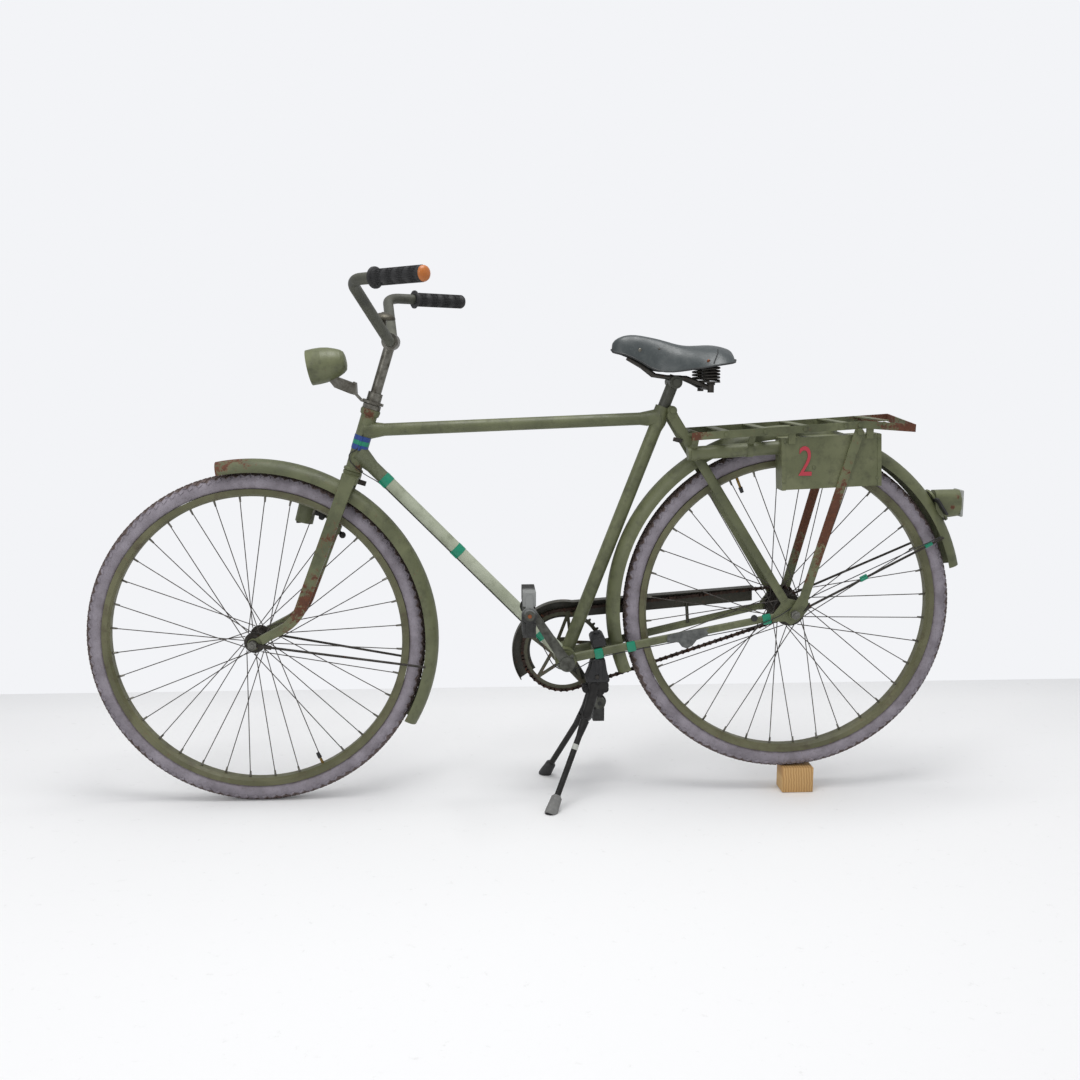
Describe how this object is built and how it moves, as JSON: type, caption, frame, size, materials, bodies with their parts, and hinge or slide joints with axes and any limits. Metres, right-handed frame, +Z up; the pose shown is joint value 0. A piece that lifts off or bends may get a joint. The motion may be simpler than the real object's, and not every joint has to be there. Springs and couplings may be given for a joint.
{
  "type": "military roadster bicycle",
  "caption": "Steel roadster bicycle with rack, tool box, lamps and mudguards, parked on a folding double-leg stand with a wooden block under the rear wheel.",
  "frame": {"origin": "on the floor, at the middle of the bicycle's length and width", "axes": "+X to the bicycle's rear, +Y to the rider's right, +Z up"},
  "size_m": [1.839, 0.6578, 1.0959],
  "materials": {
    "olive_paint": "worn satin olive-green paint with small rust spots",
    "pale_paint": "worn pale grey-green paint",
    "dark_steel": "dark oxidised steel with rust",
    "bare_steel": "worn grey plating",
    "black_plastic": "black ribbed plastic",
    "tyre_rubber": "aged grey rubber",
    "black_rubber": "black moulded rubber",
    "saddle_vinyl": "dark slate saddle covering",
    "clear_glass": "clear lamp glass",
    "bell_metal": "dull worn plating, brass inside",
    "wood": "bare softwood",
    "chain_steel": "oily rusted chain steel"
  },
  "bodies": {
    "frame": {"bottom_bracket": "olive_paint", "chain": "chain_steel", "chain_cover": "olive_paint", "chain_stays": "olive_paint", "down_tube": "pale_paint", "frame_wire": "black_plastic", "head_tube": "olive_paint", "pump_cylinder": "olive_paint", "rear_axle": "dark_steel", "rear_mudguard": "olive_paint", "rear_mudguard_stays": "olive_paint", "rear_rack": "olive_paint", "saddle_cover": "saddle_vinyl", "saddle_springs": "dark_steel", "saddle_underframe": "dark_steel", "seat_post": "olive_paint", "seat_stays": "olive_paint", "seat_tube": "olive_paint", "stand_housing": "black_plastic", "tail_lamp": "olive_paint", "tool_box": "olive_paint", "top_tube": "olive_paint", "wheel_block": "wood"},
    "steering": {"bell": "bell_metal", "dynamo": "olive_paint", "fork": "olive_paint", "front_axle": "dark_steel", "front_mudguard": "olive_paint", "front_mudguard_stays": "olive_paint", "handlebar": "dark_steel", "headlamp": "olive_paint", "headlamp_bracket": "bare_steel", "headlamp_lens": "clear_glass", "headset_nuts": "bare_steel", "left_grip": "black_rubber", "right_grip": "black_rubber", "stem": "bare_steel"},
    "front_wheel": {"front_hub": "dark_steel", "front_rim": "olive_paint", "front_spokes": "dark_steel", "front_tyre": "tyre_rubber"},
    "rear_wheel": {"rear_hub": "dark_steel", "rear_rim": "olive_paint", "rear_spokes": "dark_steel", "rear_tyre": "tyre_rubber"},
    "driver": {"rear_sprocket": "dark_steel"},
    "crankset": {"chainring": "dark_steel", "left_crank": "bare_steel", "right_crank": "bare_steel"},
    "pedal_left": {"left_pedal": "black_rubber"},
    "pedal_right": {"right_pedal": "black_rubber"},
    "stand_left": {"stand_leg_left": "dark_steel"},
    "stand_right": {"stand_leg_right": "dark_steel"}
  },
  "joints": [
    {"name": "steering", "type": "hinge", "parent": "frame", "child": "steering", "pos_m": [-0.3646, 0, 0.69587], "axis": [0.3007, 0, 0.9537], "range_deg": [-60, 60]},
    {"name": "front_wheel_spin", "type": "hinge", "parent": "steering", "child": "front_wheel", "pos_m": [-0.56959, 0, 0.35], "axis": [0, 1, 0], "continuous": true},
    {"name": "rear_wheel_spin", "type": "hinge", "parent": "frame", "child": "rear_wheel", "pos_m": [0.55041, 0, 0.4053], "axis": [0, 1, 0], "continuous": true},
    {"name": "crank_spin", "type": "hinge", "parent": "frame", "child": "crankset", "pos_m": [0.07641, 0, 0.305], "axis": [0, 1, 0], "continuous": true},
    {"name": "sprocket_spin", "type": "hinge", "parent": "frame", "child": "driver", "pos_m": [0.55041, 0, 0.4053], "axis": [0, 1, 0], "continuous": true},
    {"name": "left_pedal_spin", "type": "hinge", "parent": "crankset", "child": "pedal_left", "pos_m": [-0.00573, -0.067, 0.43051], "axis": [0, 1, 0], "continuous": true},
    {"name": "right_pedal_spin", "type": "hinge", "parent": "crankset", "child": "pedal_right", "pos_m": [0.15854, 0.067, 0.17949], "axis": [0, 1, 0], "continuous": true},
    {"name": "stand_left_fold", "type": "hinge", "parent": "frame", "child": "stand_left", "pos_m": [0.12241, -0.02, 0.178], "axis": [-0.1659, -0.8318, 0.5297], "range_deg": [0, 114.46]},
    {"name": "stand_right_fold", "type": "hinge", "parent": "frame", "child": "stand_right", "pos_m": [0.12241, 0.02, 0.178], "axis": [-0.3354, -0.8835, -0.3269], "range_deg": [0, 118.71]}
  ],
  "couplings": [
    {"joint": "sprocket_spin", "follows": "crank_spin", "ratio": 2.4444},
    {"joint": "stand_right_fold", "follows": "stand_left_fold", "ratio": 1.0372}
  ]
}
